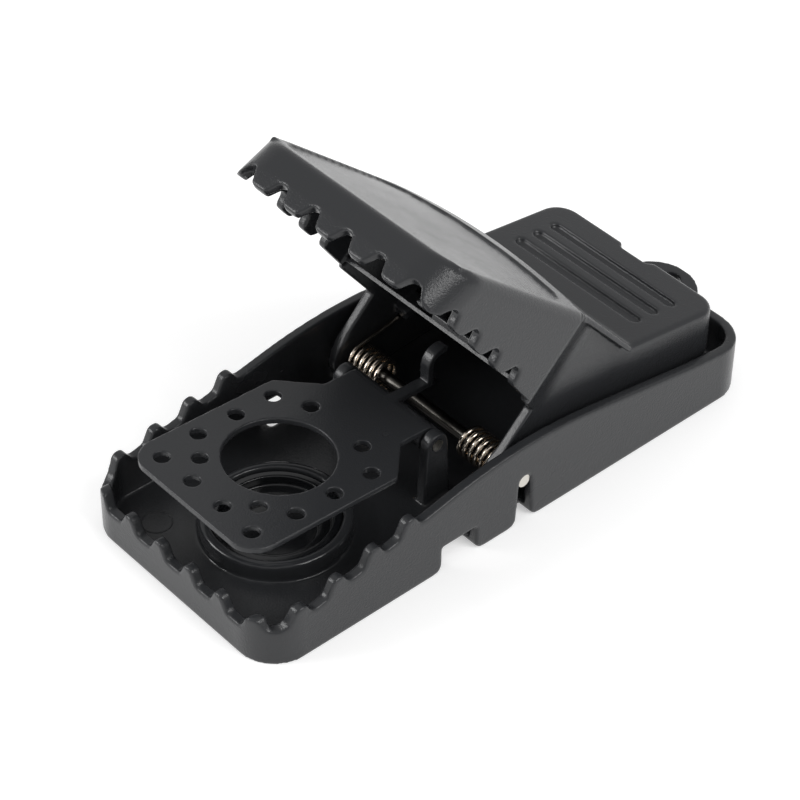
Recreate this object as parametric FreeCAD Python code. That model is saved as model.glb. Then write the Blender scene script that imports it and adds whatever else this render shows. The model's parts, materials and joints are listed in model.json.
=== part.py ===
"""Snap mouse trap, drawn set: the jaw stands open and its teeth close down on the tray.

X runs across, Y from the toothed front to the hanging tab, Z up. Lengths are millimetres and angles
degrees. The trap is laid out with its front wall at Y = 0, and moved at the end so that the origin lies
under the middle of its box. The jaw's hood is drawn as it lies when shut, where it matches the tray, and
then swung open about the axle.
"""
import FreeCAD
import Part
import math
import os

# Tray
tray_width = 45.0
tray_length = 102.0
tray_corner = 7.0
tray_wall = 1.8
tray_floor = 1.8

# Rim of the tray
front_pitch = 7.2
front_teeth = 6
front_peak = 8.6
front_depth = 2.6
corner_valley = 6.6
side_pitch = 7.0
side_teeth = 4
side_peak = 10.2
side_peak_y = 6.6
side_depth = 2.4
rim_slope = 12.3
tooth_top = 0.8
tooth_foot = 2.1
tooth_round = 1.1
corner_step = 0.7
run_depth = 2.7
crown_y = 50.5
crown_round = 80.0
crown_sink = 0.8
shoulder_y = 88.0
shoulder_height = 10.9
shoulder_round = 30.0
rear_height = 9.1

# Openings low in the tray's sides
notch_front = 34.1
notch_length = 7.0
notch_height = 4.9
notch_depth = 3.8
foot_round = 1.5

# Hanging tab
tab_radius = 7.4
tab_top = 6.0
tab_thickness = 1.8
tab_hole_radius = 2.0
tab_hole_y = 3.6

# Axle
axle_y = 51.1
axle_z = 8.3
axle_radius = 1.15
axle_recess = 0.35
bore_clearance = 0.05
slot_flare = 0.5

# Jaw
shut_angle = 66.7
hood_front_height = 13.95
hood_slope = 26.4
hood_length = 34.3
hood_wall = 1.8
hood_edge_round = 2.0
ridge_round = 1.0
jaw_gap = 0.6
jaw_tooth_shift = 0.1
tooth_band = 9.65
band_lean = 8.0
crest_bow = 1.5
crest_margin = 1.8
seam_foot_y = 36.4
seam_step = 0.25
seam_lap = 1.0
panel_border = 2.6
panel_depth = 0.4
panel_corner = 4.0

# Press pad and arms
pad_front_y = 77.0
pad_front_z = 18.6
pad_length = 20.7
pad_slope = 7.5
pad_inset = 3.9
pad_wall = 1.8
pad_corner = 4.0
pad_rear_height = 8.4
pad_round = 2.0
groove_count = 3
groove_first = 6.3
groove_pitch = 4.0
groove_width = 1.9
groove_half_length = 14.0
groove_round = 0.94
groove_depth = 0.8
pad_notch_width = 7.9
pad_notch_depth = 1.3
arm_radius = 4.67
arm_inset = 3.5
arm_wall = 1.75
arm_front_lean = 45.0
side_blend_reach = 7.0
side_blend_round = 12.0
side_edge_round = 0.8

# Springs
wire = 0.75
coil_radius = 2.52
coil_pitch = 1.22
coil_turns = 5
arcs_per_turn = 4
coil_clearance = 0.5
upper_leg_angle = 10.0
upper_leg_length = 10.5
lower_leg_length = 11.5
leg_clearance = 0.25

# Spring seats and catch inside the jaw
seat_start = 8.8
seat_end = 13.5
seat_thickness = 1.8
seat_inner = 14.2
catch_radius = 13.05
catch_thickness = 1.8
catch_angles = (52.0, 70.0)
catch_inner = 3.4
catch_outer = 5.0
rib_y = (67.0, 70.5)

# Trigger pedal
pedal_half_width = 14.8
pedal_front_y = 3.3
pedal_rise = 17.2
pedal_fall = 2.86
pedal_thickness = 1.1
pedal_front_round = 4.5
pedal_shoulder_y = 31.7
pedal_shoulder_round = 1.5
pedal_neck_y = 37.5
pedal_neck_half_width = 9.0
pedal_hole_radius = 8.8
pedal_hole_y = 20.9
small_hole_radius = 1.3
small_holes = (
    (10.7, 7.0), (11.6, 14.6), (11.6, 22.0), (11.6, 29.3), (7.0, 11.3), (3.6, 7.2), (6.0, 32.3),
)
pedal_pivot_y = 43.0
pedal_pivot_z = 12.9
pedal_pin_radius = 1.0
pedal_barrel_radius = 2.1
post_clearance = 0.3
post_width = 2.0
post_foot = 5.6
tail_half_width = 1.0
hook_y = 53.2
hook_z = 17.2
hook_radius = 3.0
hook_end = 65.0
hook_thickness = 1.2

# Bait cup and its collar
cup_y = 20.0
collar_radius = 12.0
collar_height = 5.0
collar_round = 0.7
cup_radius = 10.2
cup_clearance = 0.15
cup_wall = 1.4
cup_bottom = 1.2
cup_recess = 0.3
cup_height = 4.4
cup_ledge_radius = 6.6
cup_ledge_height = 2.6
lug_reach = 0.9
lug_bottom = 2.3
lug_height = 1.1
lug_width = 24.0
lug_clearance = 0.2
cup_twist = 45.0
grip_width = 2.0
grip_depth = 0.8
finger_radius = 7.6

# Worked out from the values above
half_width = tray_width / 2
overall_length = tray_length + tab_radius
side_rise = math.tan(math.radians(rim_slope))
pin_half_length = half_width - axle_recess
pad_half_width = half_width - pad_inset
arm_outer = half_width - arm_inset
arm_inner = arm_outer - arm_wall
reach = 2 * overall_length
past_edge = 3.0
touch = 0.01


def vec(x, y, z):
    return FreeCAD.Vector(x, y, z)


def outline(corners, place):
    """Closed face through corners (a, b, radius), each point put in space by place(a, b)."""
    points = [vec(a, b, 0) for a, b, radius in corners]
    edges = []
    last_end = None
    first_start = None
    for i, (a, b, radius) in enumerate(corners):
        corner = points[i]
        back = (points[i - 1] - corner).normalize()
        ahead = (points[(i + 1) % len(points)] - corner).normalize()
        start = corner
        end = corner
        if radius > 0:
            half = back.getAngle(ahead) / 2
            start = corner + back * (radius / math.tan(half))
            end = corner + ahead * (radius / math.tan(half))
            middle = corner + (back + ahead).normalize() * (radius / math.sin(half) - radius)
        if last_end is None:
            first_start = start
        else:
            edges.append(Part.LineSegment(place(last_end.x, last_end.y), place(start.x, start.y)).toShape())
        if radius > 0:
            arc = Part.Arc(place(start.x, start.y), place(middle.x, middle.y), place(end.x, end.y))
            edges.append(arc.toShape())
        last_end = end
    closing = Part.LineSegment(place(last_end.x, last_end.y), place(first_start.x, first_start.y))
    edges.append(closing.toShape())
    return Part.Face(Part.Wire(edges))


def across(corners, half):
    """Side outline, corners (y, z, radius), made solid over the width from -half to half."""
    return outline(corners, lambda y, z: vec(-half, y, z)).extrude(vec(2 * half, 0, 0))


def slab(corners, bottom, top):
    """Plan outline, corners (x, y, radius), made solid between two heights."""
    return outline(corners, lambda x, y: vec(x, y, bottom)).extrude(vec(0, 0, top - bottom))


def block(x0, x1, y0, y1, z0, z1):
    return Part.makeBox(x1 - x0, y1 - y0, z1 - z0, vec(x0, y0, z0))


def rod(radius, x0, x1, y, z):
    return Part.makeCylinder(radius, x1 - x0, vec(x0, y, z), vec(1, 0, 0))


def post(radius, z0, z1, x, y):
    return Part.makeCylinder(radius, z1 - z0, vec(x, y, z0), vec(0, 0, 1))


def sector(radius, z0, z1, angle, start):
    """Slice of a cylinder about the cup's axis, from the start angle on."""
    piece = Part.makeCylinder(radius, z1 - z0, vec(0, cup_y, z0), vec(0, 0, 1), angle)
    piece.rotate(vec(0, cup_y, 0), vec(0, 0, 1), start)
    return piece


def turned(shape, angle, y, z):
    """Copy of the shape, turned about the X line through (y, z); positive lifts the rear."""
    copy = shape.copy()
    copy.rotate(vec(0, y, z), vec(1, 0, 0), angle)
    return copy


def mirrored(shape):
    return shape.mirror(vec(0, 0, 0), vec(1, 0, 0))


def swung(y, z, angle):
    """Point (y, z) turned about the axle."""
    a = math.radians(angle)
    dy = y - axle_y
    dz = z - axle_z
    return axle_y + dy * math.cos(a) - dz * math.sin(a), axle_z + dy * math.sin(a) + dz * math.cos(a)


def line_through(point, slope, y):
    """Height at y of the line through the point."""
    return point[1] + slope * (y - point[0])


def slope_height(y, depth):
    """Height at y, a depth below the sloped line that joins the side teeth's tops."""
    return side_peak + side_rise * (y - side_peak_y) - depth


def teeth(first, pitch, count, depth, height):
    """Corners of a row of teeth; height(a, depth) gives the rim a depth below the tops."""
    corners = []
    for k in range(count):
        peak = first + k * pitch
        for step, down in ((-tooth_foot, depth), (-tooth_top, 0), (tooth_top, 0), (tooth_foot, depth)):
            corners.append((peak + step, height(peak + step, down), tooth_round))
    return corners


def rim_side(shift, lift):
    """Upper edge of the tray's side seen from the side, front to rear, as corners for outline."""
    corners = []
    for y, z, radius in teeth(side_peak_y, side_pitch, side_teeth, side_depth, slope_height):
        corners.append((y + shift, z + lift, radius))
    corners.append((crown_y, slope_height(crown_y, run_depth) + lift, crown_round))
    corners.append((shoulder_y, shoulder_height + lift, shoulder_round))
    corners.append((tray_length + past_edge, rear_height + lift, 0))
    return corners


def rim_front(lift):
    """Upper edge of the tray's front wall seen from the front, left to right."""
    first = -front_pitch * (front_teeth - 1) / 2
    row = teeth(first, front_pitch, front_teeth, front_depth, lambda x, down: front_peak - down + lift)
    row[0] = (row[0][0], corner_valley + lift, tooth_round)
    row[-1] = (row[-1][0], corner_valley + lift, tooth_round)
    edge = half_width + past_edge
    return [(-edge, corner_valley + lift, 0)] + row + [(edge, corner_valley + lift, 0)]


def corner_split():
    """Y of the middle of the wall at the tray's rounded front corners, where the two rims meet."""
    middle = tray_corner - tray_wall / 2
    return tray_corner - middle * math.sin(math.radians(45))


def rim_space(shift, lift, top, bottom):
    """Two solids, above the side rim and above the front rim, or below them if top is under bottom."""
    split = corner_split() + shift
    low = corner_valley + lift
    edge = half_width + past_edge
    side = [(split, top, 0), (split, low, 0), (split + corner_step, low, 0)]
    side += rim_side(shift, lift)
    side.append((tray_length + past_edge, top, 0))
    front = [(-edge, top, 0)] + rim_front(lift) + [(edge, top, 0)]
    side_space = across(side, edge)
    front_face = outline(front, lambda x, z: vec(x, bottom, z))
    front_space = front_face.extrude(vec(0, split - bottom, 0))
    return side_space, front_space


def tray_plan(inset):
    """Plan outline of the tray, set in by a wall."""
    w = half_width - inset
    corner = tray_corner - inset
    return [
        (-w, inset, corner),
        (w, inset, corner),
        (w, tray_length - inset, corner),
        (-w, tray_length - inset, corner),
    ]


def make_cup_seat(tray):
    """Collar for the bait cup, with the bayonet tracks its two lugs turn in."""
    collar = post(collar_radius, 0, collar_height, 0, cup_y)
    top_edges = [edge for edge in collar.Edges if edge.BoundBox.ZMin > collar_height - touch]
    collar = collar.makeFillet(collar_round, top_edges)
    tray = tray.fuse(collar)
    tray = tray.cut(post(cup_radius + cup_clearance, -past_edge, collar_height + past_edge, 0, cup_y))
    track_radius = cup_radius + lug_reach + cup_clearance
    low = lug_bottom - lug_clearance
    high = lug_bottom + lug_height + lug_clearance
    play = math.degrees(lug_clearance / cup_radius)
    way = lug_width + 2 * play
    for turn in (0, 180):
        start = turn - way / 2
        track = sector(track_radius, low, high, cup_twist + way, start)
        way_in = sector(track_radius, -past_edge, high, way, start + cup_twist)
        tray = tray.cut(track).cut(way_in)
    return tray


def make_pivot_posts():
    """Two posts that carry the pedal's cross pin."""
    inner = pedal_neck_half_width + post_clearance
    outer = inner + post_width
    side = outline(
        [
            (pedal_pivot_y - post_foot / 2, 0, 0),
            (pedal_pivot_y + post_foot / 2, 0, 0),
            (pedal_pivot_y + pedal_barrel_radius, pedal_pivot_z, 0),
            (pedal_pivot_y - pedal_barrel_radius, pedal_pivot_z, 0),
        ],
        lambda y, z: vec(inner, y, z),
    )
    right = side.extrude(vec(post_width, 0, 0))
    right = right.fuse(rod(pedal_barrel_radius, inner, outer, pedal_pivot_y, pedal_pivot_z))
    return right.fuse(mirrored(right))


def footed(front, rear):
    """Lower corners, seen from the side, of a cut in the tray's foot whose edges are rounded there."""
    wide = 2 * foot_round
    return [
        (front, 0, foot_round),
        (front - wide, 0, 0),
        (front - wide, -past_edge, 0),
        (rear + wide, -past_edge, 0),
        (rear + wide, 0, 0),
        (rear, 0, foot_round),
    ]


def make_tray():
    """Tray with its rims, side openings, collar, pivot posts and hanging tab."""
    top = crown_y
    tray = slab(tray_plan(0), 0, top)
    tray = tray.cut(slab(tray_plan(tray_wall), tray_floor, top + past_edge))
    side_space, front_space = rim_space(0, 0, top + past_edge, -past_edge)
    tray = tray.cut(side_space).cut(front_space)
    tray = make_cup_seat(tray)
    tray = tray.fuse(make_pivot_posts())
    bore_half = pedal_neck_half_width + post_clearance + post_width
    tray = tray.cut(rod(pedal_pin_radius, -bore_half, bore_half, pedal_pivot_y, pedal_pivot_z))

    notch = footed(notch_front, notch_front + notch_length)
    notch += [(notch_front + notch_length, notch_height, 0), (notch_front, notch_height, 0)]
    inner = half_width - notch_depth
    opening = outline(notch, lambda y, z: vec(inner, y, z)).extrude(vec(notch_depth + past_edge, 0, 0))
    tray = tray.cut(opening).cut(mirrored(opening))

    half_slot = axle_radius + slot_flare
    slot = footed(axle_y - half_slot, axle_y + half_slot)
    slot += [(axle_y + axle_radius, axle_z, 0), (axle_y - axle_radius, axle_z, 0)]
    inside = block(-arm_outer, arm_outer, 0, tray_length, -past_edge, axle_z + past_edge)
    tray = tray.cut(across(slot, half_width + past_edge).cut(inside))
    tray = tray.cut(rod(axle_radius, -half_width - past_edge, half_width + past_edge, axle_y, axle_z))

    tab = post(tab_radius, tab_top - tab_thickness, tab_top, 0, tray_length)
    tab = tab.cut(block(-half_width, half_width, 0, tray_length - tray_wall / 2, 0, tray_length))
    tray = tray.fuse(tab)
    return tray.cut(post(tab_hole_radius, 0, tray_length, 0, tray_length + tab_hole_y))


def hood_points():
    """Shut hood from the side: ridge, and the foot of the seam behind the skirt."""
    a = math.radians(hood_slope)
    ridge = (hood_length * math.cos(a), hood_front_height + hood_length * math.sin(a))
    foot = (seam_foot_y, slope_height(seam_foot_y, run_depth) + jaw_gap / 2)
    return ridge, foot


def make_hood():
    """Hood and toothed skirt, drawn shut."""
    ridge, foot = hood_points()
    slope = math.tan(math.radians(hood_slope))
    drop = hood_wall / math.cos(math.radians(hood_slope))
    past = (foot[0] + (foot[0] - ridge[0]), foot[1] - (ridge[1] - foot[1]))
    outer = across(
        [
            (0, past[1], 0),
            (0, hood_front_height, 0),
            (ridge[0], ridge[1], 0),
            (past[0], past[1], 0),
        ],
        half_width,
    )
    plan = [(x, y, radius if y < tray_length / 2 else 0) for x, y, radius in tray_plan(0)]
    outer = outer.common(slab(plan, past[1] - past_edge, reach))
    outer = outer.makeFillet(hood_edge_round, top_edges(outer, ridge))
    band = tooth_band - past[1] + past_edge
    lean = math.tan(math.radians(band_lean))
    outer = outer.cut(
        across(
            [
                (-past_edge, tooth_band, 0),
                (0, tooth_band, 0),
                (band * lean, tooth_band - band, 0),
                (-past_edge, tooth_band - band, 0),
            ],
            half_width,
        )
    )
    inner = across(
        [
            (hood_wall, past[1] - reach / 4, 0),
            (hood_wall, line_through((0, hood_front_height), slope, hood_wall) - drop, 0),
            (ridge[0], ridge[1] - drop, 0),
            (past[0] + (past[0] - ridge[0]), past[1] - (ridge[1] - past[1]) - drop, 0),
        ],
        half_width,
    )
    plan = [(x, y, radius if y < tray_length / 2 else 0) for x, y, radius in tray_plan(hood_wall)]
    inner = inner.common(slab(plan, past[1] - reach / 4, reach))
    side_space, front_space = rim_space(jaw_tooth_shift, jaw_gap, -reach, -past_edge)
    hood = outer.cut(side_space).cut(front_space)
    return hood, inner


def top_edges(outer, ridge):
    """Edges round the hood's top, at its front and along both sides up to the ridge."""
    slope = math.tan(math.radians(hood_slope))
    chosen = []
    for edge in outer.Edges:
        ends = [edge.valueAt(edge.FirstParameter), edge.valueAt(edge.LastParameter)]
        on_top = all(abs(line_through((0, hood_front_height), slope, end.y) - end.z) < touch for end in ends)
        if on_top and not all(abs(end.y - ridge[0]) < touch for end in ends):
            chosen.append(edge)
    return chosen


def make_panel():
    """Recess in the hood's top, drawn shut. Its floor keeps the same depth below the bowed top."""
    panel = slab(
        [
            (-half_width + panel_border, panel_border, panel_corner),
            (half_width - panel_border, panel_border, panel_corner),
            (half_width - panel_border, hood_length - panel_border, panel_corner),
            (-half_width + panel_border, hood_length - panel_border, panel_corner),
        ],
        -panel_depth,
        hood_wall + crest_bow,
    )
    panel.translate(vec(0, 0, hood_front_height))
    panel = turned(turned(panel, hood_slope, 0, hood_front_height), -shut_angle, axle_y, axle_z)
    a = math.radians(hood_slope - shut_angle)
    below = hood_bow()
    below.translate(vec(0, panel_depth * math.sin(a), -panel_depth * math.cos(a)))
    return panel.cut(below)


def bow(start, end):
    """Low mound that rises from a straight line at start to the bowed crest at end."""
    a = math.radians(arm_front_lean)
    half = half_width - crest_margin
    sink = hood_wall / 2
    wires = []
    for (y, z), rise in ((start, 0), (end, crest_bow)):
        foot_y = y - sink * math.cos(a)
        foot_z = z - sink * math.sin(a)
        corners = [vec(-half, y, z), vec(-half, foot_y, foot_z), vec(half, foot_y, foot_z), vec(half, y, z)]
        edges = [Part.LineSegment(p, q).toShape() for p, q in zip(corners, corners[1:])]
        if rise > 0:
            middle = vec(0, y + rise * math.cos(a), z + rise * math.sin(a))
            edges.append(Part.Arc(corners[-1], middle, corners[0]).toShape())
        else:
            edges.append(Part.LineSegment(corners[-1], corners[0]).toShape())
        wires.append(Part.Wire(edges))
    return Part.makeLoft(wires, True, True)


def hood_bow():
    """Mound on the hood's top, drawn open."""
    ridge = hood_points()[0]
    share = hood_edge_round / hood_length
    start = (ridge[0] * share, hood_front_height + (ridge[1] - hood_front_height) * share)
    return bow(swung(start[0], start[1], -shut_angle), swung(ridge[0], ridge[1], -shut_angle))


def lever_bow():
    """Mound on the sloped back behind the crest, drawn open."""
    ridge = hood_points()[0]
    start = (pad_front_y - pad_round, pad_front_z + pad_round * back_slope())
    return bow(start, swung(ridge[0], ridge[1], -shut_angle))


def back_slope():
    """Fall per length of the sloped back between the crest and the pad."""
    ridge = hood_points()[0]
    ridge = swung(ridge[0], ridge[1], -shut_angle)
    return (ridge[1] - pad_front_z) / (pad_front_y - ridge[0])


def leaning(corners, low, high):
    """Outline in x and in the distance behind the arms' leaning front plane, made solid along the plane."""
    a = math.radians(arm_front_lean)

    def place(x, b):
        return vec(x, b * math.sin(a) + low * math.cos(a), low * math.sin(a) - b * math.cos(a))

    length = high - low
    return outline(corners, place).extrude(vec(0, length * math.cos(a), length * math.sin(a)))


def behind(y, z):
    """Distance of a point behind the plane through the origin that leans like the arms' fronts."""
    a = math.radians(arm_front_lean)
    return y * math.sin(a) - z * math.cos(a)


def lever_width(seam, inset):
    """Half outline of the lever's sides, from the seam back, as corners of a closed plan."""
    wide = half_width - seam_step - inset
    narrow = arm_outer - inset
    rear = pad_half_width - inset
    side = [
        (wide, seam - reach, 0),
        (wide, seam, 0),
        (narrow, seam + side_blend_reach, side_blend_round),
        (rear, behind(pad_front_y, pad_front_z), 0),
        (rear, reach, 0),
    ]
    return side + [(-x, b, radius) for x, b, radius in reversed(side)]


def make_lever():
    """Sloped back, press pad, sides and arms, drawn open."""
    ridge, foot = hood_points()
    ridge = swung(ridge[0], ridge[1], -shut_angle)
    foot = swung(foot[0], foot[1], -shut_angle)
    a = math.radians(pad_slope)
    rear = (pad_front_y + pad_length * math.cos(a), pad_front_z - pad_length * math.sin(a))
    lean = math.radians(arm_front_lean)
    root = (axle_y - arm_radius * math.sin(lean), axle_z + arm_radius * math.cos(lean))
    shut_lean = math.radians(arm_front_lean + shut_angle)
    shut_root = swung(root[0], root[1], shut_angle)
    rim_top = slope_height(crown_y, run_depth)
    rim_top -= crown_sink * crown_round * (1 / math.cos(math.radians(rim_slope)) - 1)
    face = (rim_top + jaw_gap / 2 - shut_root[1]) / math.sin(shut_lean)
    face_top = (root[0] + face * math.cos(lean), root[1] + face * math.sin(lean))
    seam = behind(foot[0], foot[1])
    outer = across(
        [
            (ridge[0], ridge[1], ridge_round),
            (pad_front_y, pad_front_z, pad_round),
            (rear[0], rear[1], 0),
            (rear[0], rear[1] - pad_rear_height, 0),
            (axle_y, axle_z - arm_radius, 0),
            (root[0], root[1], 0),
            (face_top[0], face_top[1], 0),
            (foot[0], foot[1], 0),
        ],
        half_width,
    )
    outer = outer.common(leaning(lever_width(seam, 0), 0, reach))
    round_x = pad_half_width - pad_corner
    round_y = rear[0] - pad_corner
    corner = block(round_x, half_width, round_y, rear[0] + past_edge, 0, reach)
    corner = corner.cut(post(pad_corner, 0, reach, round_x, round_y))
    outer = outer.cut(corner).cut(mirrored(corner))
    outer = outer.makeFillet(side_edge_round, lever_edges(outer, ridge, rear))

    fall = math.atan(back_slope())
    down = pad_wall / math.cos(fall)
    deep = pad_wall / math.cos(a)
    crease = (fall + a) / 2
    knee = (pad_front_y - pad_wall * math.sin(crease), pad_front_z - pad_wall * math.cos(crease))
    below = down + ridge_round
    forward = (ridge[0] - foot[0]) / (ridge[1] - foot[1])
    inner = across(
        [
            (ridge[0] - below * forward - seam_lap, ridge[1] - below, 0),
            (ridge[0], ridge[1] - below, 0),
            (knee[0], knee[1], 0),
            (rear[0] - pad_wall, rear[1] - deep + pad_wall * math.tan(a), 0),
            (rear[0] - pad_wall, -reach, 0),
            (ridge[0] - (ridge[1] + reach) * forward - seam_lap, -reach, 0),
        ],
        half_width,
    )
    inner = inner.common(leaning(lever_width(seam, arm_wall), -reach, reach))
    return outer, inner, rear


def lever_edges(outer, ridge, rear):
    """Edges along both sides of the sloped back and round the pad's sides and rear."""
    fall = back_slope()
    pad_fall = math.tan(math.radians(pad_slope))
    chosen = []
    for edge in outer.Edges:
        points = [edge.valueAt(edge.FirstParameter), edge.valueAt(edge.LastParameter)]
        on_top = True
        for point in points:
            if point.y < pad_front_y:
                top = pad_front_z + fall * (pad_front_y - point.y)
            else:
                top = pad_front_z - pad_fall * (point.y - pad_front_y)
            on_top = on_top and abs(top - point.z) < pad_round / 2
        level = abs(points[0].y - points[1].y) < touch and abs(points[0].z - points[1].z) < touch
        if on_top and not (level and points[0].y < rear[0] - pad_corner):
            chosen.append(edge)
    return chosen


def pad_cuts(rear):
    """Grip grooves and the notch in the pad's rear edge."""
    cuts = []
    for k in range(groove_count):
        along = groove_first + k * groove_pitch
        half = groove_width / 2
        groove = slab(
            [
                (-groove_half_length, along - half, groove_round),
                (groove_half_length, along - half, groove_round),
                (groove_half_length, along + half, groove_round),
                (-groove_half_length, along + half, groove_round),
            ],
            -groove_depth,
            pad_wall,
        )
        cuts.append(groove)
    half = pad_notch_width / 2
    notch = slab(
        [
            (-half - past_edge, pad_length + past_edge, 0),
            (-half + pad_notch_depth, pad_length - pad_notch_depth, 0),
            (half - pad_notch_depth, pad_length - pad_notch_depth, 0),
            (half + past_edge, pad_length + past_edge, 0),
        ],
        -pad_wall,
        pad_wall,
    )
    cuts.append(notch)
    placed = []
    for cut in cuts:
        cut.translate(vec(0, pad_front_y, pad_front_z))
        placed.append(turned(cut, -pad_slope, pad_front_y, pad_front_z))
    return placed


def leg_frame():
    """Start and direction of the springs' upper legs in the side view."""
    a = math.radians(upper_leg_angle)
    start = (axle_y - coil_radius * math.sin(a), axle_z + coil_radius * math.cos(a))
    return start, (math.cos(a), math.sin(a))


def make_seats():
    """Webs beside the arms that the springs push up, and the catch for the hook."""
    start, along = leg_frame()
    off = wire / 2 + leg_clearance

    def point(distance, height):
        y = start[0] + along[0] * distance - along[1] * height
        z = start[1] + along[1] * distance + along[0] * height
        return y, z, 0

    web = across(
        [
            point(seat_start, off),
            point(seat_end, off),
            point(seat_end, off + seat_thickness),
            point(seat_start, off + seat_thickness),
        ],
        arm_inner + arm_wall / 2,
    )
    web = web.cut(block(-seat_inner, seat_inner, 0, tray_length, 0, tray_length))
    return web.fuse(make_catch())


def on_catch(radius, angle):
    """Corner at a radius and an angle about the axle."""
    a = math.radians(angle)
    return axle_y + radius * math.cos(a), axle_z + radius * math.sin(a), 0


def make_catch():
    """Curved bar that the hook holds, on two ribs from the sloped back."""
    outer_radius = catch_radius + catch_thickness
    low, high = catch_angles
    bar = rod(outer_radius, -catch_outer, catch_outer, axle_y, axle_z)
    bar = bar.cut(rod(catch_radius, -catch_outer, catch_outer, axle_y, axle_z))
    far = 2 * catch_radius
    bar = bar.common(across([(axle_y, axle_z, 0), on_catch(far, low), on_catch(far, high)], catch_outer))
    sunk = pad_wall / 2 / math.cos(math.atan(back_slope()))
    ends = [(y, pad_front_z + back_slope() * (pad_front_y - y) - sunk, 0) for y in rib_y]
    middle = catch_radius + catch_thickness / 2
    rib = across([on_catch(middle, high), ends[0], ends[1], on_catch(middle, low)], catch_outer)
    rib = rib.cut(rod(middle, -catch_outer, catch_outer, axle_y, axle_z))
    return bar.fuse(rib.cut(block(-catch_inner, catch_inner, 0, tray_length, 0, tray_length)))


def make_jaw():
    """Hood, lever, arms and seats as one moulding, bored for the axle."""
    hood, hood_inside = make_hood()
    hood = turned(hood, -shut_angle, axle_y, axle_z)
    hood_inside = turned(hood_inside, -shut_angle, axle_y, axle_z)
    lever, lever_inside, rear = make_lever()
    eyes = rod(arm_radius, arm_inner, arm_outer, axle_y, axle_z)
    eyes = eyes.fuse(mirrored(eyes))
    jaw = hood.fuse(lever).fuse(hood_bow()).fuse(lever_bow())
    jaw = jaw.cut(make_panel())
    jaw = jaw.cut(hood_inside).cut(lever_inside)
    jaw = jaw.fuse(eyes).fuse(make_seats())
    for cut in pad_cuts(rear):
        jaw = jaw.cut(cut)
    jaw = jaw.cut(rod(axle_radius + bore_clearance, -half_width, half_width, axle_y, axle_z))
    return jaw


def make_axle_pin():
    return rod(axle_radius, -pin_half_length, pin_half_length, axle_y, axle_z)


def arc_from(start, tangent, end):
    """Arc that leaves start along the tangent and ends at end."""
    chord = end - start
    unit = vec(chord.x, chord.y, chord.z).normalize()
    angle = tangent.getAngle(unit)
    side = (tangent - unit * tangent.dot(unit)).normalize()
    middle = (start + end) * 0.5 + side * (chord.Length / 2 * math.tan(angle / 2))
    return Part.Arc(start, middle, end).toShape()


def biarc(start, start_tangent, end, end_tangent):
    """Two arcs that join start to end and leave and arrive along the tangents."""
    chord = end - start
    total = start_tangent + end_tangent
    bend = 2 * (1 - start_tangent.dot(end_tangent))
    along = chord.dot(total)
    size = (math.sqrt(along * along + bend * chord.dot(chord)) - along) / bend
    joint = (start + end + (start_tangent - end_tangent) * size) * 0.5
    middle_tangent = (joint - start - start_tangent * size).normalize()
    return [arc_from(start, start_tangent, joint), arc_from(joint, middle_tangent, end)]


def coil_point(x_start, first, total, share):
    """Point on the coil's middle line and the way the wire runs there; share goes from 0 to 1."""
    angle = math.radians(first - total * share)
    length = coil_pitch * total / 360
    point = vec(
        x_start + length * share,
        axle_y + coil_radius * math.cos(angle),
        axle_z + coil_radius * math.sin(angle),
    )
    turn = math.radians(total) * coil_radius
    tangent = vec(length, turn * math.sin(angle), -turn * math.cos(angle))
    return point, tangent.normalize()


def make_spring():
    """Right torsion spring: floor leg at its inner end, coil, and jaw leg at its outer end."""
    drop = axle_z - tray_floor - wire / 2 - leg_clearance
    fall = math.asin(drop / math.hypot(lower_leg_length, coil_radius))
    fall -= math.atan2(coil_radius, lower_leg_length)
    first = -90 - math.degrees(fall)
    last = 90 + upper_leg_angle
    total = first - last + 360 + 360 * coil_turns
    length = coil_pitch * total / 360
    x_end = arm_inner - coil_clearance - wire / 2
    x_start = x_end - length
    steps = arcs_per_turn * math.ceil(total / 360)
    places = [coil_point(x_start, first, total, k / steps) for k in range(steps + 1)]
    flat_start = vec(0, places[0][1].y, places[0][1].z).normalize()
    flat_end = vec(0, places[-1][1].y, places[-1][1].z).normalize()
    places[0] = (places[0][0], flat_start)
    places[-1] = (places[-1][0], flat_end)
    foot = places[0][0] - flat_start * lower_leg_length
    tip = places[-1][0] + flat_end * upper_leg_length
    edges = [Part.LineSegment(foot, places[0][0]).toShape()]
    for (start, start_tangent), (end, end_tangent) in zip(places, places[1:]):
        edges += biarc(start, start_tangent, end, end_tangent)
    edges.append(Part.LineSegment(places[-1][0], tip).toShape())
    path = Part.Wire(edges)
    ring = Part.Wire([Part.Circle(foot, flat_start, wire / 2).toShape()])
    return path.makePipeShell([ring], True, False)


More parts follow.
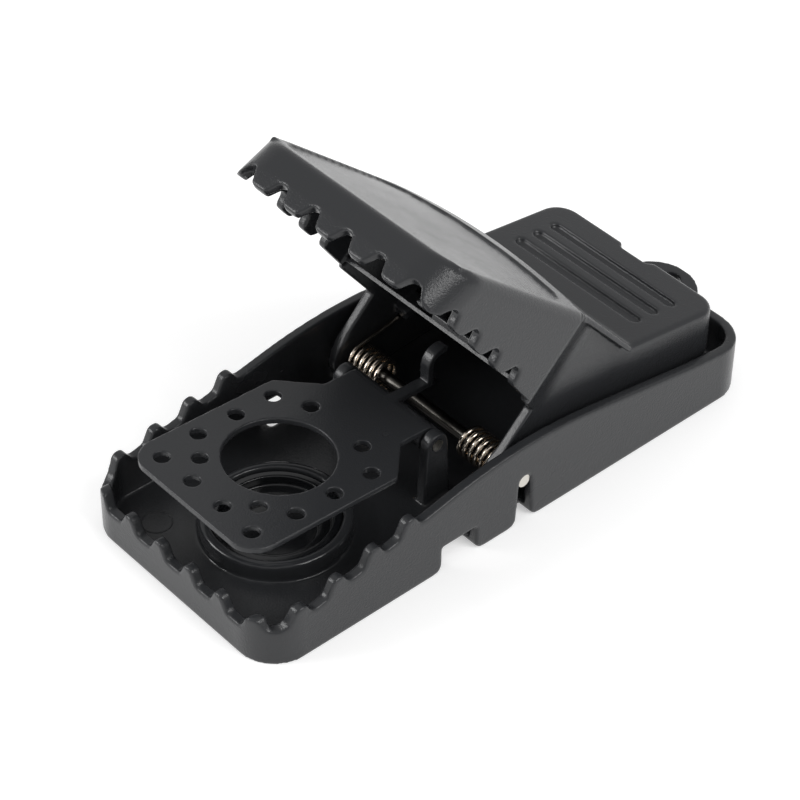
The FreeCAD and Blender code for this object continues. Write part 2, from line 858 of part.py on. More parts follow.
def make_pedal():
    """Perforated plate, pivot barrel, tail and hook."""
    low = -pedal_thickness
    plate = slab(
        [
            (-pedal_half_width, pedal_front_y, pedal_front_round),
            (pedal_half_width, pedal_front_y, pedal_front_round),
            (pedal_half_width, pedal_shoulder_y, pedal_shoulder_round),
            (pedal_neck_half_width, pedal_neck_y, pedal_shoulder_round),
            (pedal_neck_half_width, pedal_pivot_y, 0),
            (-pedal_neck_half_width, pedal_pivot_y, 0),
            (-pedal_neck_half_width, pedal_neck_y, pedal_shoulder_round),
            (-pedal_half_width, pedal_shoulder_y, pedal_shoulder_round),
        ],
        low,
        0,
    )
    plate = plate.cut(post(pedal_hole_radius, low - past_edge, past_edge, 0, pedal_hole_y))
    for x, y in small_holes:
        for side in (-1, 1):
            plate = plate.cut(post(small_hole_radius, low - past_edge, past_edge, side * x, y))
    front = pedal_pivot_y - pedal_barrel_radius
    stem_y = hook_y - hook_radius
    tail = block(-tail_half_width, tail_half_width, front, stem_y + hook_thickness, low, 0)
    plate = plate.fuse(tail)
    plate.translate(vec(0, 0, pedal_rise))
    plate = turned(plate, -pedal_fall, 0, pedal_rise)
    foot = pedal_rise - math.tan(math.radians(pedal_fall)) * stem_y - pedal_thickness
    hook = rod(hook_radius, -tail_half_width, tail_half_width, hook_y, hook_z)
    hook = hook.cut(rod(hook_radius - hook_thickness, -tail_half_width, tail_half_width, hook_y, hook_z))
    far = 2 * hook_radius
    end = math.radians(hook_end)
    wedge = [
        (hook_y, hook_z, 0),
        (hook_y + far * math.cos(end), hook_z + far * math.sin(end), 0),
        (hook_y - far, hook_z + far, 0),
        (hook_y - far, hook_z, 0),
    ]
    hook = hook.common(across(wedge, tail_half_width))
    stem = block(-tail_half_width, tail_half_width, stem_y, stem_y + hook_thickness, foot, hook_z)
    hook = hook.fuse(stem)
    half = pedal_neck_half_width
    barrel = rod(pedal_barrel_radius, -half, half, pedal_pivot_y, pedal_pivot_z)
    pedal = plate.fuse(hook).fuse(barrel)
    bore = rod(pedal_pin_radius + bore_clearance, -half_width, half_width, pedal_pivot_y, pedal_pivot_z)
    return pedal.cut(bore).removeSplitter()


def make_pedal_pin():
    half = pedal_neck_half_width + post_clearance + post_width
    return rod(pedal_pin_radius, -half, half, pedal_pivot_y, pedal_pivot_z)


def make_cup():
    """Stepped bowl with two bayonet lugs and a finger bar below."""
    cup = post(cup_radius, cup_recess, cup_height, 0, cup_y)
    cup = cup.cut(post(cup_radius - cup_wall, cup_ledge_height, cup_height + past_edge, 0, cup_y))
    floor = cup_recess + cup_bottom
    cup = cup.cut(post(cup_ledge_radius, floor, cup_height, 0, cup_y))
    for turn in (0, 180):
        top = lug_bottom + lug_height
        lug = sector(cup_radius + lug_reach, lug_bottom, top, lug_width, turn - lug_width / 2)
        cup = cup.fuse(lug.cut(post(cup_radius - cup_wall / 2, 0, cup_height, 0, cup_y)))
    finger = post(finger_radius, 0, cup_recess + grip_depth, 0, cup_y)
    finger = finger.cut(block(-grip_width / 2, grip_width / 2, 0, tray_length, 0, tray_floor))
    return cup.cut(finger).removeSplitter()


def main():
    os.makedirs("parts", exist_ok=True)
    right_spring = make_spring()
    pieces = {
        "base_tray": make_tray(),
        "jaw": make_jaw(),
        "axle_pin": make_axle_pin(),
        "spring_right": right_spring,
        "spring_left": mirrored(right_spring),
        "trigger_pedal": make_pedal(),
        "pedal_pin": make_pedal_pin(),
        "bait_cup": make_cup(),
    }
    for name, shape in pieces.items():
        solids = shape.Solids
        print(name, len(solids), "valid" if shape.isValid() else "INVALID", round(shape.Volume, 1))
        solid = solids[0] if len(solids) == 1 else shape
        solid = solid.copy()
        solid.translate(vec(0, -overall_length / 2, 0))
        solid.exportStep("parts/" + name + ".step")


main()
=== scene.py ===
"""Looks of the snap mouse trap: moulded black plastic, wound springs, pins and the stage.

The mouldings are taken from the frame's solids, whose sharp edges are rounded as a mould leaves them. The
springs are wound again as smooth tubes.
"""

import json
import math

import bpy
import numpy as np
from mathutils import Matrix, Vector


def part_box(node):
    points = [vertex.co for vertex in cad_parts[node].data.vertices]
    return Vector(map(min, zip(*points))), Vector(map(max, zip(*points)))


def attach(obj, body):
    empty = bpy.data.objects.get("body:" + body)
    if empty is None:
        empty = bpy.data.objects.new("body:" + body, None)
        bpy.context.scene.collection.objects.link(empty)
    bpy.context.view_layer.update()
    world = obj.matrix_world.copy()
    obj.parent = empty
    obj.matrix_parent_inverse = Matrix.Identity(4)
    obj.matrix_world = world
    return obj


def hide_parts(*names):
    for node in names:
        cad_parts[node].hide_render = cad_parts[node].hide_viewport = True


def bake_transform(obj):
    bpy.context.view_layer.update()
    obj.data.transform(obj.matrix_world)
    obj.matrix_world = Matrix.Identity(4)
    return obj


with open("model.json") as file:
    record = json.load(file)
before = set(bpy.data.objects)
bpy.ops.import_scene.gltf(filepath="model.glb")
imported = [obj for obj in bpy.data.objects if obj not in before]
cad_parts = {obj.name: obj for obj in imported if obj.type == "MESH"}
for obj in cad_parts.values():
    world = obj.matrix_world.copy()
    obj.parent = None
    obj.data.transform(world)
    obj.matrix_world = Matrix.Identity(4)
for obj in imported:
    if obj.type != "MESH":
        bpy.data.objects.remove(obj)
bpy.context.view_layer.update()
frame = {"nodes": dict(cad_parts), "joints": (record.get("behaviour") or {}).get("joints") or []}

bl_info = {
    "name": "Snap mouse trap",
    "version": (1, 0, 0),
    "blender": (4, 5, 0),
    "location": "3D View > Sidebar > Mouse trap",
    "description": "Finishes the mouldings, springs and pins of a press-to-set mouse trap",
    "category": "Object",
}

MM = 0.001
JOINTS = {joint["name"]: joint for joint in frame["joints"]}
AXLE = Vector(JOINTS["jaw_hinge"]["pos_m"])
CUP = Vector(JOINTS["cup_twist"]["pos_m"])
TRAY_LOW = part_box("base_tray")[0]

# Corners of a solid that lie closer than this are merged before its skin is laid.
WELD = 0.002 * MM
# A skin with more triangles than this is thinned.
MOST_TRIANGLES = 185000
# Passes that smooth a skin's steps.
FULL_PASSES = 8
FEW_PASSES = 3

SATIN = "satin moulded ABS"
# Sizes of the materials' patterns.
HANDLING_PATCH = 14 * MM
GRAIN_DEPTH = 0.045 * MM
GLOSS_WAVE = 3 * MM
GLOSS_WAVE_DEPTH = 0.02 * MM
DRAWN_LINE = 0.12 * MM
# Most of a noise's values lie between these two.
NOISE_RANGE = {"From Min": 0.3, "From Max": 0.7}

TUBE_SIDES = 14
STEPS_PER_TURN = 36
STEPS_PER_LEG = 16
RING_STEPS = 72
RIDGE_STEPS = 10

# The stage is in metres, apart from the camera's sensor, which is in millimetres.
FLOOR_WIDTH = 6.0
# Each lamp's name, place and power in watts.
LAMPS = (
    ("key", (0.7, 0.16, 0.66), 4.2),
    ("fill", (-0.62, -0.76, 0.5), 5.5),
)
LAMP_WIDTH = 0.5
LAMP_AIM = (0, 0, 0.01)
SENSOR_WIDTH = 36.0
NEAREST_SEEN, FARTHEST_SEEN = 0.01, 10.0


class PlasticSettings(bpy.types.PropertyGroup):
    """Black plastic of the mouldings."""
    colour: bpy.props.StringProperty(
        name="Colour", description="Colour of the black plastic, as an sRGB hex value", default="#2B2C2E",
    )
    cup_colour: bpy.props.StringProperty(
        name="Cup colour", description="Colour of the smooth cup, as an sRGB hex value", default="#121315",
    )
    voxel: bpy.props.FloatProperty(
        name="Edge rounding", description="Size of the steps that round a moulding's edges",
        default=0.24 * MM, unit="LENGTH", precision=5,
    )
    small_voxel: bpy.props.FloatProperty(
        name="Edge rounding of small parts",
        description="Size of the steps that round the pedal and the cup",
        default=0.16 * MM, unit="LENGTH", precision=5,
    )
    grain: bpy.props.FloatProperty(
        name="Spark grain",
        description="Distance between the grains of the mould, coarser than real so that they show",
        default=0.28 * MM, unit="LENGTH", precision=5,
    )
    collar: bpy.props.FloatProperty(
        name="Collar", description="Radius of the polished zone round the cup",
        default=12.3 * MM, unit="LENGTH", precision=5,
    )


class MarkSettings(bpy.types.PropertyGroup):
    """Mark that the mould's ejector pin left."""
    ring_radius: bpy.props.FloatProperty(
        name="Ring radius", description="Radius of the ring round the ejector pin's end",
        default=2.4 * MM, unit="LENGTH", precision=5,
    )
    ring_width: bpy.props.FloatProperty(
        name="Ring width", description="Width of the ring's rounded ridge",
        default=0.22 * MM, unit="LENGTH", precision=5,
    )
    ring_place: bpy.props.FloatVectorProperty(
        name="Ring place", description="Middle of the ring, on the tray's floor",
        default=(-12.9 * MM, 6.8 * MM + TRAY_LOW.y, 1.8 * MM), subtype="TRANSLATION", precision=5,
    )


class SpringSettings(bpy.types.PropertyGroup):
    """Torsion springs, as they are wound in the frame."""
    wire: bpy.props.FloatProperty(
        name="Wire", description="Diameter of the spring wire",
        default=0.75 * MM, unit="LENGTH", precision=5,
    )
    coil_radius: bpy.props.FloatProperty(
        name="Coil radius", description="Radius of the coil's middle line",
        default=2.52 * MM, unit="LENGTH", precision=5,
    )
    pitch: bpy.props.FloatProperty(
        name="Pitch", description="Distance between neighbouring turns",
        default=1.22 * MM, unit="LENGTH", precision=5,
    )
    turns: bpy.props.IntProperty(name="Turns", description="Whole turns of the coil", default=5, min=1)
    upper_angle: bpy.props.FloatProperty(
        name="Upper leg", description="Rise of the leg that pushes the jaw",
        default=math.radians(10.0), subtype="ANGLE",
    )
    upper_leg: bpy.props.FloatProperty(
        name="Upper leg length", description="Straight length of the upper leg",
        default=10.5 * MM, unit="LENGTH", precision=5,
    )
    lower_leg: bpy.props.FloatProperty(
        name="Lower leg length", description="Straight length of the leg on the tray's floor",
        default=11.5 * MM, unit="LENGTH", precision=5,
    )
    colour: bpy.props.StringProperty(
        name="Colour", description="Colour of the plated wire, as an sRGB hex value", default="#E6DACB",
    )


class PinSettings(bpy.types.PropertyGroup):
    """Pins that the jaw and the pedal turn on."""
    # The pin colour is painted shade along each pin's middle; the highlight colour is a painted highlight on
    # its cropped ends.
    colour: bpy.props.StringProperty(
        name="Colour", description="Colour of the steel with painted light, as an sRGB hex value", default="#4A4845",
    )
    painted_highlight_colour: bpy.props.StringProperty(
        name="Painted highlight colour", description="Colour of a pin's bare ends, as an sRGB hex value",
        default="#D8D4CC",
    )
    painted_highlight_length: bpy.props.FloatProperty(
        name="Painted highlight length", description="Length of each bare end of a pin",
        default=0.15 * MM, unit="LENGTH", precision=5,
    )


class StageSettings(bpy.types.PropertyGroup):
    """Floor, lights and camera."""
    azimuth: bpy.props.FloatProperty(
        name="Azimuth", description="How far the camera stands round the trap",
        default=math.radians(48.13), subtype="ANGLE",
    )
    elevation: bpy.props.FloatProperty(
        name="Elevation", description="How high the camera stands",
        default=math.radians(41.20), subtype="ANGLE",
    )
    roll: bpy.props.FloatProperty(
        name="Roll", description="Turn of the camera about its own axis",
        default=math.radians(0.77), subtype="ANGLE",
    )
    distance: bpy.props.FloatProperty(
        name="Distance", description="Distance from the camera to its target", default=0.4361, unit="LENGTH",
    )
    lens: bpy.props.FloatProperty(
        name="Lens", description="Focal length on a 36 mm wide sensor",
        default=124.63, subtype="DISTANCE_CAMERA",
    )
    target: bpy.props.FloatVectorProperty(
        name="Target", description="Point the camera looks at",
        default=(-2.94 * MM, 47.81 * MM + TRAY_LOW.y, 10.0 * MM), subtype="TRANSLATION", precision=5,
    )
    floor_colour: bpy.props.StringProperty(
        name="Floor colour", description="Colour of the floor, as an sRGB hex value", default="#E6E6E6",
    )
    floor_lift: bpy.props.FloatProperty(
        name="Floor lift",
        description="Light that the floor shows the camera and reflections beyond its own", default=0.4,
    )
    walls: bpy.props.FloatProperty(
        name="Walls", description="Brightness of the white cloth tent that the trap stands in", default=0.6,
    )


def linear(hex_colour):
    """Linear colour of an sRGB hex value: each share below 0.04045 is divided by 12.92, and above it
    (share + 0.055) / 1.055 is raised to the power 2.4."""
    shares = np.array([int(hex_colour[i:i + 2], 16) for i in (1, 3, 5)]) / 255
    values = np.where(shares <= 0.04045, shares / 12.92, ((shares + 0.055) / 1.055) ** 2.4)
    return (*values.tolist(), 1.0)


def add_node(tree, kind, settings=(), inputs=(), **attributes):
    """Adds a node, sets its attributes and input values, and links the inputs that are sockets."""
    node = tree.nodes.new(kind)
    for name, value in attributes.items():
        setattr(node, name, value)
    for name, value in dict(settings).items():
        node.inputs[name].default_value = value
    for name, socket in dict(inputs).items():
        tree.links.new(socket, node.inputs[name])
    return node


def new_material(name):
    """Empty node material with its principled shader."""
    material = bpy.data.materials.new(name)
    material.use_nodes = True
    tree = material.node_tree
    return material, tree, tree.nodes["Principled BSDF"]


def satin_abs(name, colour, grain):
    """Injection-moulded ABS, black all through. The mould is spark eroded, which leaves fine grains that
    break up the highlights; handling leaves faint shinier patches. Real grains lie a few hundredths of a
    millimetre apart, too fine to show, so they are drawn coarser. The IOR is under the 1.53 of plain ABS, to
    match how little the grained walls shine."""
    handled, untouched = 0.2, 0.28
    material, tree, shader = new_material(name)
    place = add_node(tree, "ShaderNodeTexCoord").outputs["Object"]
    grains = add_node(
        tree, "ShaderNodeTexNoise",
        {"Scale": 1 / grain, "Detail": 2.0, "Roughness": 0.55}, {"Vector": place},
    ).outputs["Fac"]
    patches = add_node(
        tree, "ShaderNodeTexNoise",
        {"Scale": 1 / HANDLING_PATCH, "Detail": 3.0, "Roughness": 0.6}, {"Vector": place},
    ).outputs["Fac"]
    matt = add_node(
        tree, "ShaderNodeMapRange",
        {**NOISE_RANGE, "To Min": handled, "To Max": untouched}, {"Value": patches},
    ).outputs["Result"]
    bump = add_node(
        tree, "ShaderNodeBump", {"Strength": 1.0, "Distance": GRAIN_DEPTH}, {"Height": grains}
    ).outputs["Normal"]
    tree.links.new(matt, shader.inputs["Roughness"])
    tree.links.new(bump, shader.inputs["Normal"])
    shader.inputs["Base Color"].default_value = linear(colour)
    shader.inputs["IOR"].default_value = 1.41
    return material


def collared_abs(name, colour, grain, collar):
    """The same satin ABS, but round the cup, inside the collar's radius as seen from above, the mould is
    polished, so the plastic shines and its grains are nearly gone."""
    polished, faintest_grain = 0.14, 0.05
    material = satin_abs(name, colour, grain)
    tree = material.node_tree
    shader = tree.nodes["Principled BSDF"]
    matt = shader.inputs["Roughness"].links[0].from_socket
    bump = shader.inputs["Normal"].links[0].from_node
    place = add_node(tree, "ShaderNodeTexCoord").outputs["Object"]
    flat = add_node(
        tree, "ShaderNodeMapping", {"Scale": (1.0, 1.0, 0.0)}, {"Vector": place}
    ).outputs["Vector"]
    away = add_node(
        tree, "ShaderNodeVectorMath", {1: (CUP.x, CUP.y, 0.0)}, {0: flat}, operation="DISTANCE"
    ).outputs["Value"]
    # The polish fades out from a little inside the collar's radius to a little outside it.
    edge = {"From Min": collar - 0.2 * MM, "From Max": collar + 0.4 * MM}
    roughness = add_node(
        tree, "ShaderNodeMapRange", {**edge, "To Min": polished}, {"Value": away, "To Max": matt}
    ).outputs["Result"]
    strength = add_node(
        tree, "ShaderNodeMapRange", {**edge, "To Min": faintest_grain, "To Max": 1.0}, {"Value": away}
    ).outputs["Result"]
    tree.links.new(roughness, shader.inputs["Roughness"])
    tree.links.new(strength, bump.inputs["Strength"])
    return material


def glossy_abs(name, colour):
    """The same ABS out of a polished mould, with only a faint waviness in its gloss."""
    material, tree, shader = new_material(name)
    place = add_node(tree, "ShaderNodeTexCoord").outputs["Object"]
    waves = add_node(
        tree, "ShaderNodeTexNoise", {"Scale": 1 / GLOSS_WAVE, "Detail": 2.0}, {"Vector": place}
    ).outputs["Fac"]
    bump = add_node(
        tree, "ShaderNodeBump", {"Strength": 0.1, "Distance": GLOSS_WAVE_DEPTH}, {"Height": waves}
    ).outputs["Normal"]
    tree.links.new(bump, shader.inputs["Normal"])
    shader.inputs["Base Color"].default_value = linear(colour)
    shader.inputs["Roughness"].default_value = 0.16
    shader.inputs["IOR"].default_value = 1.52
    return material


def drawn_steel(name, colour, roughness):
    """Steel wire or pin, drawn through a die. The die leaves fine lines, which spread the gloss unevenly.
    They run across the trap, as a pin does, and on a coil they only break up the gloss. Real lines are about
    a hundredth of a millimetre wide, too fine to show, so they are drawn coarser."""
    smoothest, roughest = roughness - 0.05, roughness + 0.08
    material, tree, shader = new_material(name)
    place = add_node(tree, "ShaderNodeTexCoord").outputs["Object"]
    stretch = add_node(
        tree, "ShaderNodeMapping", {"Scale": (0.15, 1.0, 1.0)}, {"Vector": place}
    ).outputs["Vector"]
    lines = add_node(
        tree, "ShaderNodeTexNoise", {"Scale": 1 / DRAWN_LINE, "Detail": 2.0}, {"Vector": stretch}
    ).outputs["Fac"]
    spread = add_node(
        tree, "ShaderNodeMapRange",
        {**NOISE_RANGE, "To Min": smoothest, "To Max": roughest}, {"Value": lines},
    ).outputs["Result"]
    tree.links.new(spread, shader.inputs["Roughness"])
    shader.inputs["Base Color"].default_value = linear(colour)
    shader.inputs["Metallic"].default_value = 1.0
    return material


def steel_with_painted_light(name, colour, painted_highlight_colour, end):
    """Drawn steel pin. Its middle takes the dark colour, which is painted shade, and its cropped ends,
    beyond the distance end from its middle, take the bright colour, which is a painted highlight."""
    material = drawn_steel(name, colour, roughness=0.3)
    tree = material.node_tree
    place = add_node(tree, "ShaderNodeTexCoord").outputs["Object"]
    across = add_node(tree, "ShaderNodeSeparateXYZ", {}, {"Vector": place}).outputs["X"]
    away = add_node(tree, "ShaderNodeMath", {}, {0: across}, operation="ABSOLUTE").outputs[0]
    # The ends beyond end get the painted highlight; the middle keeps the painted shade.
    highlighted = add_node(tree, "ShaderNodeMath", {1: end}, {0: away}, operation="GREATER_THAN").outputs[0]
    # A Mix node takes its two colours at inputs 6 and 7 and gives the mixed one at output 2.
    tone = add_node(
        tree, "ShaderNodeMix", {6: linear(colour), 7: linear(painted_highlight_colour)}, {0: highlighted}, data_type="RGBA"
    ).outputs[2]
    tree.links.new(tone, tree.nodes["Principled BSDF"].inputs["Base Color"])
    return material


def finished_mesh(piece):
    """Mesh of a piece after its modifiers."""
    bpy.context.view_layer.update()
    graph = bpy.context.evaluated_depsgraph_get()
    return bpy.data.meshes.new_from_object(piece.evaluated_get(graph))


def rounded_copy(node, name, voxel, passes):
    """Copy of a node's solid, merged to one closed skin, laid over a fine grid of voxels and smoothed in a
    few passes, so that its sharp edges get the small radius that a mould leaves."""
    mesh = frame["nodes"][node].data.copy()
    mesh.name = name
    piece = bpy.data.objects.new(name, mesh)
    bpy.context.scene.collection.objects.link(piece)
    weld = piece.modifiers.new("weld", "WELD")
    weld.merge_threshold = WELD
    skin = piece.modifiers.new("skin", "REMESH")
    skin.mode = "VOXEL"
    skin.voxel_size = voxel
    skin.use_smooth_shade = True
    smooth = piece.modifiers.new("smooth", "SMOOTH")
    smooth.factor = 0.5
    smooth.iterations = passes
    finished = finished_mesh(piece)
    # The skin's faces have four corners, so each is two triangles.
    triangles = 2 * len(finished.polygons)
    if triangles > MOST_TRIANGLES:
        thin = piece.modifiers.new("thin", "DECIMATE")
        thin.ratio = MOST_TRIANGLES / triangles
        finished = finished_mesh(piece)
    piece.modifiers.clear()
    piece.data = finished
    return piece


def new_piece(name, vertices, faces):
    """Piece at the origin, with its place in its mesh."""
    mesh = bpy.data.meshes.new(name)
    mesh.from_pydata(vertices, [], faces)
    piece = bpy.data.objects.new(name, mesh)
    bpy.context.scene.collection.objects.link(piece)
    return piece


def dress(piece, material, body, nodes):
    """Gives a piece its material and body, and hides the nodes it replaces."""
    piece.data.materials.clear()
    piece.data.materials.append(material)
    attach(piece, body)
    if nodes:
        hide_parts(*nodes)


class TRAP_OT_mouldings(bpy.types.Operator):
    """Finish the tray, jaw, pedal and bait cup"""
    bl_idname = "trap.mouldings"
    bl_label = "Finish mouldings"

    def execute(self, context):
        values = context.scene.trap_plastic
        satin = satin_abs(SATIN, values.colour, values.grain)
        collared = collared_abs(SATIN + ", polished collar", values.colour, values.grain, values.collar)
        glossy = glossy_abs("polished moulded ABS", values.cup_colour)
        coarseness = 1
        for node, name, body, material, slot in (
            ("base_tray", "tray_moulding", "base", collared, "body_plastic"),
            ("jaw", "jaw_moulding", "jaw", satin, "body_plastic"),
            ("trigger_pedal", "pedal_moulding", "trigger", satin, "body_plastic"),
            ("bait_cup", "cup_moulding", "cup", glossy, "cup_plastic"),
        ):
            small = node in ("trigger_pedal", "bait_cup")
            step = values.small_voxel if small else values.voxel
            passes = FEW_PASSES if small else FULL_PASSES
            piece = rounded_copy(node, name, step * coarseness, passes)
            dress(piece, material, body, [node])
        return {"FINISHED"}


def ridge_ring(radius, width, place):
    """Torus. The ring's radius plus half the width times the tube angle's cosine is turned about the upright
    line through the place, and half the width times that angle's sine is added to its height."""
    turn = np.linspace(0, 2 * np.pi, RING_STEPS, endpoint=False)[:, None]
    tube = np.linspace(0, 2 * np.pi, RIDGE_STEPS, endpoint=False)[None, :]
    reach = radius + width / 2 * np.cos(tube)
    points = np.stack([
        place[0] + reach * np.cos(turn),
        place[1] + reach * np.sin(turn),
        place[2] + width / 2 * np.sin(tube) + 0 * turn,
    ], -1).reshape(-1, 3)
    here, side = np.meshgrid(np.arange(RING_STEPS), np.arange(RIDGE_STEPS), indexing="ij")
    ahead, beside = (here + 1) % RING_STEPS, (side + 1) % RIDGE_STEPS
    faces = np.stack([
        here * RIDGE_STEPS + side, ahead * RIDGE_STEPS + side,
        ahead * RIDGE_STEPS + beside, here * RIDGE_STEPS + beside,
    ], -1).reshape(-1, 4)
    return points.tolist(), faces.tolist()


class TRAP_OT_marks(bpy.types.Operator):
    """Raise the ring that an ejector pin left on the tray's floor"""
    bl_idname = "trap.marks"
    bl_label = "Raise ejector ring"

    def execute(self, context):
        values = context.scene.trap_marks
        piece = new_piece(
            "ejector_ring", *ridge_ring(values.ring_radius, values.ring_width, values.ring_place)
        )
        piece.data.shade_smooth()
        dress(piece, bpy.data.materials[SATIN], "base", [])
        return {"FINISHED"}


def wire_tube(points, radius):
    """Closed tube along points. Each ring lies across the path: radius times (cosine of the angle times one
    side vector plus sine of the angle times the other), and the first side vector is X less its share along
    the path. The ends close with a point in the middle."""
    ahead = np.gradient(points, axis=0)
    ahead /= np.linalg.norm(ahead, axis=1)[:, None]
    across = np.tile(np.array([1.0, 0.0, 0.0]), (len(points), 1))
    across -= ahead * (across * ahead).sum(1)[:, None]
    across /= np.linalg.norm(across, axis=1)[:, None]
    third = np.cross(ahead, across)
    angle = np.linspace(0, 2 * np.pi, TUBE_SIDES, endpoint=False)
    rings = (
        points[:, None, :]
        + radius * np.cos(angle)[None, :, None] * across[:, None, :]
        + radius * np.sin(angle)[None, :, None] * third[:, None, :]
    )
    vertices = np.concatenate([rings.reshape(-1, 3), points[:1], points[-1:]])
    row = np.arange(len(points) - 1)[:, None] * TUBE_SIDES
    here = np.arange(TUBE_SIDES)
    beside = (here + 1) % TUBE_SIDES
    wall = np.stack([
        row + here, row + beside, row + TUBE_SIDES + beside, row + TUBE_SIDES + here,
    ], -1).reshape(-1, 4)
    last_row = (len(points) - 1) * TUBE_SIDES
    middle = np.full(TUBE_SIDES, len(points) * TUBE_SIDES)
    first_end = np.stack([middle, beside, here], -1)
    last_end = np.stack([middle + 1, last_row + here, last_row + beside], -1)
    return vertices.tolist(), wall.tolist() + first_end.tolist() + last_end.tolist()


def spring_path(values, side):
    """Middle line of a torsion spring. The coil is a helix about the axle: across the trap it grows
    steadily with the angle, and in the side view it is the axle's centre plus the coil's radius times the
    angle's cosine and sine. A straight leg leaves each end of the coil along its tangent."""
    low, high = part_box("spring_right")
    radius = values.coil_radius
    drop = AXLE.z - low.z - values.wire / 2
    lower_angle = (
        math.asin(drop / math.hypot(values.lower_leg, radius)) - math.atan2(radius, values.lower_leg)
    )
    first = -math.pi / 2 - lower_angle
    total = first - (math.pi / 2 + values.upper_angle) + 2 * math.pi * (values.turns + 1)
    x_end = high.x - values.wire / 2
    share = np.linspace(0, 1, STEPS_PER_TURN * (values.turns + 1))
    angle = first - total * share
    length = values.pitch * total / (2 * math.pi)
    coil = np.stack([
        x_end - length * (1 - share),
        AXLE.y + radius * np.cos(angle),
        AXLE.z + radius * np.sin(angle),
    ], -1)
    start_way = np.array([0, math.sin(angle[0]), -math.cos(angle[0])])
    end_way = np.array([0, math.sin(angle[-1]), -math.cos(angle[-1])])
    steps = np.linspace(1, 0, STEPS_PER_LEG, endpoint=False)[:, None]
    lower = coil[0] - start_way * values.lower_leg * steps
    upper = coil[-1] + end_way * values.upper_leg * (1 - steps + steps[-1])
    points = np.concatenate([lower, coil, upper])
    points[:, 0] *= side
    return points


class TRAP_OT_springs(bpy.types.Operator):
    """Wind both torsion springs"""
    bl_idname = "trap.springs"
    bl_label = "Wind springs"

    def execute(self, context):
        values = context.scene.trap_springs
        steel = drawn_steel("nickel-plated spring wire", values.colour, roughness=0.13)
        for name, node, side in (
            ("right_spring_wire", "spring_right", 1),
            ("left_spring_wire", "spring_left", -1),
        ):
            points = spring_path(values, side)
            piece = new_piece(name, *wire_tube(points, values.wire / 2))
            piece.data.shade_smooth()
            piece.data.materials.append(steel)
            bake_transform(piece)
            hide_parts(node)
        return {"FINISHED"}


class TRAP_OT_pins(bpy.types.Operator):
    """Give both pins their drawn steel, with painted shade along the middle and a painted highlight on the
    ends
    """
    bl_idname = "trap.pins"
    bl_label = "Finish pins"

    def execute(self, context):
        values = context.scene.trap_pins
        for node in ("axle_pin", "pedal_pin"):
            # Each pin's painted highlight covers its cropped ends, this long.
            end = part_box(node)[1].x - values.painted_highlight_length
            steel = steel_with_painted_light("oiled steel " + node, values.colour, values.painted_highlight_colour, end)
            piece = frame["nodes"][node]
            piece.data.materials.clear()
            piece.data.materials.append(steel)
        return {"FINISHED"}


def add_light(name, place, power):
    """Square soft lamp at a place, turned to the trap."""
    data = bpy.data.lights.new(name, "AREA")
    data.shape = "SQUARE"
    data.size = LAMP_WIDTH
    data.energy = power
    lamp = bpy.data.objects.new(name, data)
    bpy.context.scene.collection.objects.link(lamp)
    lamp.location = place
    lamp.rotation_mode = "QUATERNION"
    lamp.rotation_quaternion = (Vector(LAMP_AIM) - Vector(place)).to_track_quat("-Z", "Y")


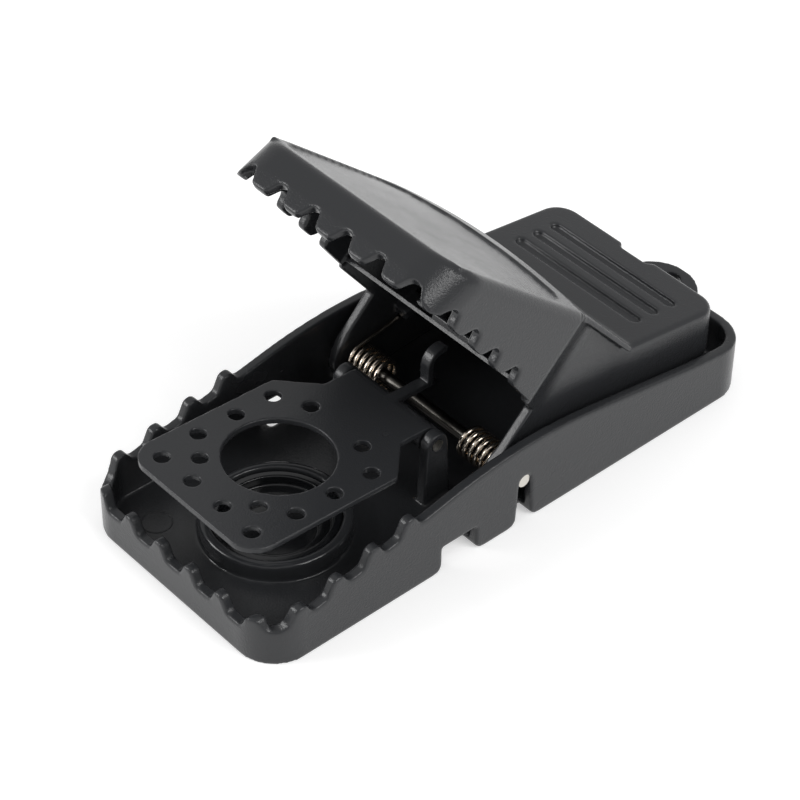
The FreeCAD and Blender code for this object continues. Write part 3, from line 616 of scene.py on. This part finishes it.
class TRAP_OT_stage(bpy.types.Operator):
    """Lay the floor, hang the lamps and set up the camera"""
    bl_idname = "trap.stage"
    bl_label = "Set the stage"

    def execute(self, context):
        values = context.scene.trap_stage
        self.add_floor(values)
        self.add_world(context, values)
        for name, place, power in LAMPS:
            add_light(name, place, power)
        self.add_camera(context, values)
        context.scene.view_settings.view_transform = "Standard"
        return {"FINISHED"}

    def add_floor(self, values):
        """Matt white card under the trap. It shows the camera and reflections a little light beyond its own,
        so that it turns white and still keeps the trap's shadow."""
        half = FLOOR_WIDTH / 2
        corners = [(-half, -half, 0), (half, -half, 0), (half, half, 0), (-half, half, 0)]
        floor = new_piece("floor", corners, [(0, 1, 2, 3)])
        material, tree, shader = new_material("white card floor")
        shader.inputs["Base Color"].default_value = linear(values.floor_colour)
        shader.inputs["Roughness"].default_value = 0.7
        rays = add_node(tree, "ShaderNodeLightPath").outputs
        seen = add_node(
            tree, "ShaderNodeMath", {},
            {0: rays["Is Camera Ray"], 1: rays["Is Glossy Ray"]}, operation="ADD",
        ).outputs[0]
        seen = add_node(
            tree, "ShaderNodeMath", {},
            {0: seen, 1: rays["Is Transmission Ray"]}, operation="ADD", use_clamp=True,
        ).outputs[0]
        lift = add_node(
            tree, "ShaderNodeMath", {1: values.floor_lift}, {0: seen}, operation="MULTIPLY"
        ).outputs[0]
        tree.links.new(lift, shader.inputs["Emission Strength"])
        shader.inputs["Emission Color"].default_value = (1, 1, 1, 1)
        floor.data.materials.append(material)

    def add_world(self, context, values):
        """White cloth tent, evenly bright all round."""
        world = bpy.data.worlds.new("studio")
        context.scene.world = world
        world.use_nodes = True
        background = world.node_tree.nodes["Background"]
        background.inputs["Color"].default_value = (1, 1, 1, 1)
        background.inputs["Strength"].default_value = values.walls

    def add_camera(self, context, values):
        """Camera at its distance from the target, back along (sine of the azimuth times cosine of the
        elevation, minus cosine of the azimuth times cosine of the elevation, sine of the elevation). Its
        level side and the side above it are turned by the roll."""
        data = bpy.data.cameras.new("camera")
        data.sensor_width = SENSOR_WIDTH
        data.lens = values.lens
        data.clip_start = NEAREST_SEEN
        data.clip_end = FARTHEST_SEEN
        camera = bpy.data.objects.new("camera", data)
        context.scene.collection.objects.link(camera)
        a, e, r = values.azimuth, values.elevation, values.roll
        back = Vector((math.sin(a) * math.cos(e), -math.cos(a) * math.cos(e), math.sin(e)))
        level = Vector((math.cos(a), math.sin(a), 0))
        above = back.cross(level)
        right = level * math.cos(r) + above * math.sin(r)
        up = above * math.cos(r) - level * math.sin(r)
        turn = Matrix((right, up, back)).transposed()
        camera.rotation_mode = "QUATERNION"
        camera.rotation_quaternion = turn.to_quaternion()
        camera.location = Vector(values.target) + back * values.distance
        context.scene.camera = camera


STEPS = ("mouldings", "marks", "springs", "pins", "stage")


class TRAP_PT_panel(bpy.types.Panel):
    """Steps that finish the trap, in order"""
    bl_label = "Mouse trap"
    bl_idname = "TRAP_PT_panel"
    bl_space_type = "VIEW_3D"
    bl_region_type = "UI"
    bl_category = "Mouse trap"

    def draw(self, context):
        for step in STEPS:
            self.layout.operator("trap." + step)


SETTINGS = {
    "trap_plastic": PlasticSettings,
    "trap_marks": MarkSettings,
    "trap_springs": SpringSettings,
    "trap_pins": PinSettings,
    "trap_stage": StageSettings,
}
CLASSES = (
    *SETTINGS.values(),
    TRAP_OT_mouldings, TRAP_OT_marks, TRAP_OT_springs, TRAP_OT_pins, TRAP_OT_stage, TRAP_PT_panel,
)


def register():
    for kind in CLASSES:
        bpy.utils.register_class(kind)
    for name, kind in SETTINGS.items():
        setattr(bpy.types.Scene, name, bpy.props.PointerProperty(type=kind))


def unregister():
    for name in SETTINGS:
        delattr(bpy.types.Scene, name)
    for kind in reversed(CLASSES):
        bpy.utils.unregister_class(kind)


def main():
    register()
    for step in STEPS:
        getattr(bpy.ops.trap, step)()


if __name__ == "__main__":
    main()
